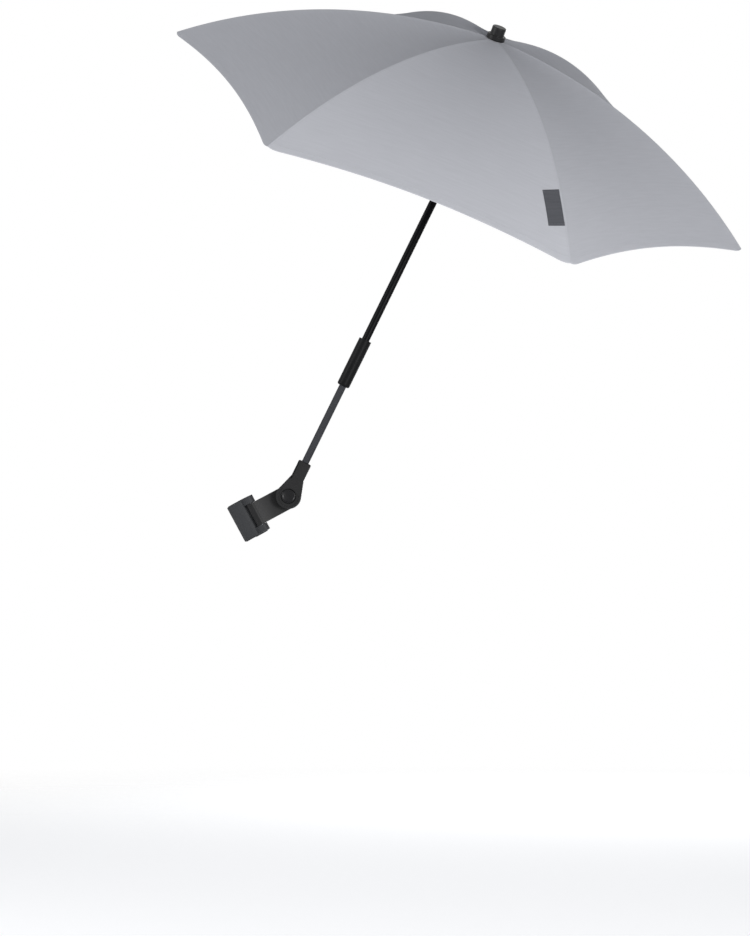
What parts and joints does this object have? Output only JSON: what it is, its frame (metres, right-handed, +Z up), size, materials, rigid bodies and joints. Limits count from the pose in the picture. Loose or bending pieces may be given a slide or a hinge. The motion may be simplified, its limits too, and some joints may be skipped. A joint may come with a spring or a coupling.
{
  "type": "pram parasol",
  "caption": "Small folding sunshade on a tilting, telescoping mast, with an arm and a clip that snaps onto the tube of a pram frame.",
  "frame": {"origin": "on the axis of the frame tube, at the middle of the clip's length", "axes": "+Z up, +X towards the mast's lean as seen from the front, +Y away from the viewer; the rest pose is the one in the picture"},
  "size_m": [0.7127, 0.6266, 0.6988],
  "materials": {
    "canopy_cloth": "plain woven polyester, matt, grey",
    "tag_cloth": "woven tape, black, bare",
    "black_plastic": "moulded nylon, fine satin texture",
    "button_plastic": "moulded, smooth",
    "liner_rubber": "soft rubber",
    "gloss_tube": "gloss black lacquer",
    "matt_tube": "matt dark grey powder coat",
    "rib_steel": "black lacquered steel wire",
    "pin_steel": "zinc plated steel"
  },
  "bodies": {
    "clip": {"clip_shell": "black_plastic", "clip_liner": "liner_rubber", "swivel_pin": "pin_steel"},
    "arm": {"arm": "black_plastic", "pivot_bolt": "pin_steel", "pivot_washer": "pin_steel", "pivot_nut": "pin_steel", "button_spring": "pin_steel"},
    "foot": {"end_fitting": "black_plastic", "lower_tube": "matt_tube"},
    "button": {"lock_button": "button_plastic"},
    "mast": {"upper_tube": "gloss_tube", "collet": "black_plastic", "collar_bush": "black_plastic", "tilt_fork": "black_plastic", "tilt_pin": "pin_steel"},
    "collar": {"twist_collar": "black_plastic"},
    "post": {"tilt_tongue": "black_plastic", "top_tube": "gloss_tube", "catch_spring": "pin_steel", "crown": "black_plastic", "crown_pins": "pin_steel", "finial": "black_plastic"},
    "runner": {"runner": "black_plastic"},
    "rib_1": {"rib_1": "rib_steel", "rib_tip_1": "black_plastic", "rib_clip_1": "black_plastic", "canopy_1": "canopy_cloth"},
    "stretcher_1": {"stretcher_1": "rib_steel"},
    "rib_2": {"rib_2": "rib_steel", "rib_tip_2": "black_plastic", "rib_clip_2": "black_plastic", "canopy_2": "canopy_cloth"},
    "stretcher_2": {"stretcher_2": "rib_steel"},
    "rib_3": {"rib_3": "rib_steel", "rib_tip_3": "black_plastic", "rib_clip_3": "black_plastic", "canopy_3": "canopy_cloth"},
    "stretcher_3": {"stretcher_3": "rib_steel"},
    "rib_4": {"rib_4": "rib_steel", "rib_tip_4": "black_plastic", "rib_clip_4": "black_plastic", "canopy_4": "canopy_cloth"},
    "stretcher_4": {"stretcher_4": "rib_steel"},
    "rib_5": {"rib_5": "rib_steel", "rib_tip_5": "black_plastic", "rib_clip_5": "black_plastic", "canopy_5": "canopy_cloth"},
    "stretcher_5": {"stretcher_5": "rib_steel"},
    "rib_6": {"rib_6": "rib_steel", "rib_tip_6": "black_plastic", "rib_clip_6": "black_plastic", "canopy_6": "canopy_cloth", "woven_tag": "tag_cloth"},
    "stretcher_6": {"stretcher_6": "rib_steel"}
  },
  "joints": [
    {"name": "arm_swivel", "type": "hinge", "parent": "clip", "child": "arm", "pos_m": [0.01233, -0.0215, 0.00664], "axis": [-0.4741, 0, 0.8805], "range_deg": [-75, 15]},
    {"name": "mast_tilt", "type": "hinge", "parent": "arm", "child": "foot", "pos_m": [0.05318, -0.02745, 0.02864], "axis": [0, 1, 0], "range_deg": [-80, 60]},
    {"name": "button_press", "type": "slide", "parent": "foot", "child": "button", "axis": [0, 1, 0], "range_m": [0, 0.0022], "stiffness_N_per_m": 600, "deforming": ["button_spring"]},
    {"name": "mast_slide", "type": "slide", "parent": "foot", "child": "mast", "axis": [0.4407, 0, 0.8976], "range_m": [-0.1, 0.06]},
    {"name": "collar_twist", "type": "hinge", "parent": "mast", "child": "collar", "pos_m": [0.12193, -0.02745, 0.16867], "axis": [0.4407, 0, 0.8976], "range_deg": [-60, 60]},
    {"name": "canopy_tilt", "type": "hinge", "parent": "mast", "child": "post", "pos_m": [0.24754, -0.02745, 0.4245], "axis": [0.8725, -0.2351, -0.4284], "range_deg": [-22.5, 37.5]},
    {"name": "runner_slide", "type": "slide", "parent": "post", "child": "runner", "axis": [-0.3264, 0.372, -0.869], "range_m": [0, 0.11236], "deforming": ["catch_spring", "canopy_1", "canopy_2", "canopy_3", "canopy_4", "canopy_5", "canopy_6", "woven_tag"]},
    {"name": "rib_1_fold", "type": "hinge", "parent": "post", "child": "rib_1", "pos_m": [0.32034, -0.1001, 0.58988], "axis": [0.1613, 0.9278, 0.3365], "range_deg": [0, 67.87]},
    {"name": "stretcher_1_fold", "type": "hinge", "parent": "rib_1", "child": "stretcher_1", "pos_m": [0.38816, -0.09814, 0.55196], "axis": [0.1613, 0.9278, 0.3365], "range_deg": [-121.76, 0]},
    {"name": "rib_2_fold", "type": "hinge", "parent": "post", "child": "rib_2", "pos_m": [0.31708, -0.09191, 0.59461], "axis": [-0.7259, 0.4902, 0.4825], "range_deg": [0, 67.87]},
    {"name": "stretcher_2_fold", "type": "hinge", "parent": "rib_2", "child": "stretcher_2", "pos_m": [0.35984, -0.02702, 0.59303], "axis": [-0.7259, 0.4902, 0.4825], "range_deg": [-121.76, 0]},
    {"name": "rib_3_fold", "type": "hinge", "parent": "post", "child": "rib_3", "pos_m": [0.30777, -0.09161, 0.59824], "axis": [-0.8872, -0.4376, 0.146], "range_deg": [0, 67.87]},
    {"name": "stretcher_3_fold", "type": "hinge", "parent": "rib_3", "child": "stretcher_3", "pos_m": [0.27894, -0.02439, 0.62455], "axis": [-0.8872, -0.4376, 0.146], "range_deg": [-121.76, 0]},
    {"name": "rib_4_fold", "type": "hinge", "parent": "post", "child": "rib_4", "pos_m": [0.30171, -0.09949, 0.59714], "axis": [-0.1613, -0.9278, -0.3365], "range_deg": [0, 67.87]},
    {"name": "stretcher_4_fold", "type": "hinge", "parent": "rib_4", "child": "stretcher_4", "pos_m": [0.22635, -0.09286, 0.61499], "axis": [-0.1613, -0.9278, -0.3365], "range_deg": [-121.76, 0]},
    {"name": "rib_5_fold", "type": "hinge", "parent": "post", "child": "rib_5", "pos_m": [0.30497, -0.10768, 0.59241], "axis": [0.7259, -0.4902, -0.4825], "range_deg": [0, 67.87]},
    {"name": "stretcher_5_fold", "type": "hinge", "parent": "rib_5", "child": "stretcher_5", "pos_m": [0.25467, -0.16397, 0.57392], "axis": [0.7259, -0.4902, -0.4825], "range_deg": [-121.76, 0]},
    {"name": "rib_6_fold", "type": "hinge", "parent": "post", "child": "rib_6", "pos_m": [0.31428, -0.10798, 0.58878], "axis": [0.8872, 0.4376, -0.146], "range_deg": [0, 67.87]},
    {"name": "stretcher_6_fold", "type": "hinge", "parent": "rib_6", "child": "stretcher_6", "pos_m": [0.33557, -0.16661, 0.5424], "axis": [0.8872, 0.4376, -0.146], "range_deg": [-121.76, 0]}
  ],
  "couplings": [
    {"joint": "rib_1_fold", "follows": "runner_slide", "rad_per_m": 10.54},
    {"joint": "stretcher_1_fold", "follows": "runner_slide", "rad_per_m": -18.912},
    {"joint": "rib_2_fold", "follows": "runner_slide", "rad_per_m": 10.54},
    {"joint": "stretcher_2_fold", "follows": "runner_slide", "rad_per_m": -18.912},
    {"joint": "rib_3_fold", "follows": "runner_slide", "rad_per_m": 10.54},
    {"joint": "stretcher_3_fold", "follows": "runner_slide", "rad_per_m": -18.912},
    {"joint": "rib_4_fold", "follows": "runner_slide", "rad_per_m": 10.54},
    {"joint": "stretcher_4_fold", "follows": "runner_slide", "rad_per_m": -18.912},
    {"joint": "rib_5_fold", "follows": "runner_slide", "rad_per_m": 10.54},
    {"joint": "stretcher_5_fold", "follows": "runner_slide", "rad_per_m": -18.912},
    {"joint": "rib_6_fold", "follows": "runner_slide", "rad_per_m": 10.54},
    {"joint": "stretcher_6_fold", "follows": "runner_slide", "rad_per_m": -18.912}
  ]
}
